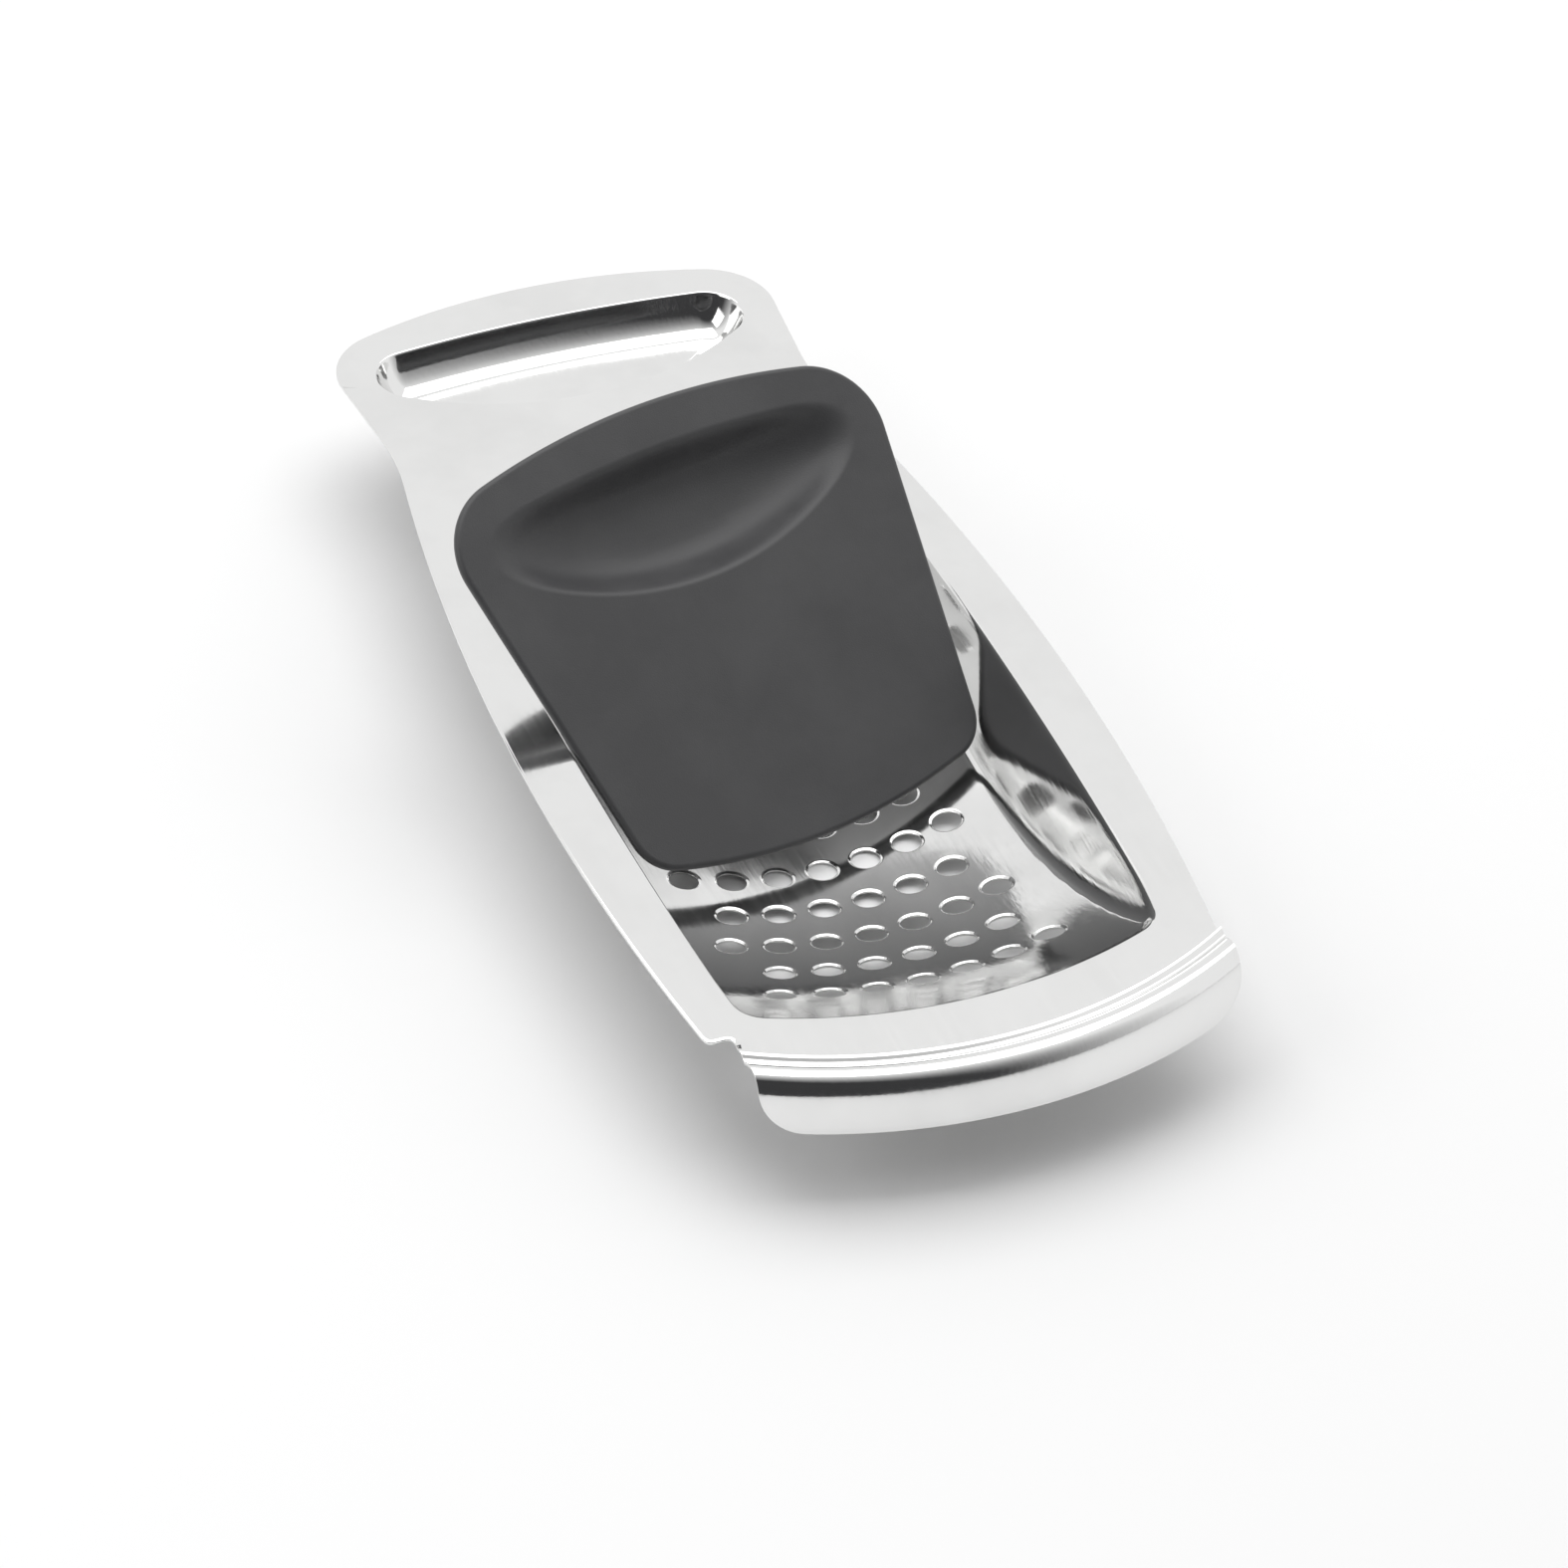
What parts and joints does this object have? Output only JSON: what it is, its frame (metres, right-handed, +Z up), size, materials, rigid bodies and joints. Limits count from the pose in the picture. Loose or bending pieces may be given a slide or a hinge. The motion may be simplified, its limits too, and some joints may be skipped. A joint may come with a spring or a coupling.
{
  "type": "spaetzle press-through strainer",
  "caption": "Pressed steel strainer with a curved perforated trough, pot-rim hook and dished handle, and a plastic scraper that sweeps the trough.",
  "frame": {"origin": "underside of the flange's neck, on the middle line, where the far rim of a pot carries it", "axes": "+Z up out of the trough, +Y along the tool from the hook towards the handle's end"},
  "size_m": [0.1414, 0.3297, 0.0816],
  "materials": {
    "steel": "bright polished pressed steel with fine polishing lines",
    "scraper_plastic": "dark grey matt moulded plastic with a fine texture"
  },
  "bodies": {
    "pan": {"trough": "steel", "flange": "steel", "handle": "steel", "hook": "steel"},
    "scraper": {"scraper": "scraper_plastic"}
  },
  "joints": [
    {"name": "scraper_stroke", "type": "hinge", "parent": "pan", "child": "scraper", "pos_m": [0, -0.13, 0.14797], "axis": [1, 0, 0], "range_deg": [-24, 28]}
  ]
}
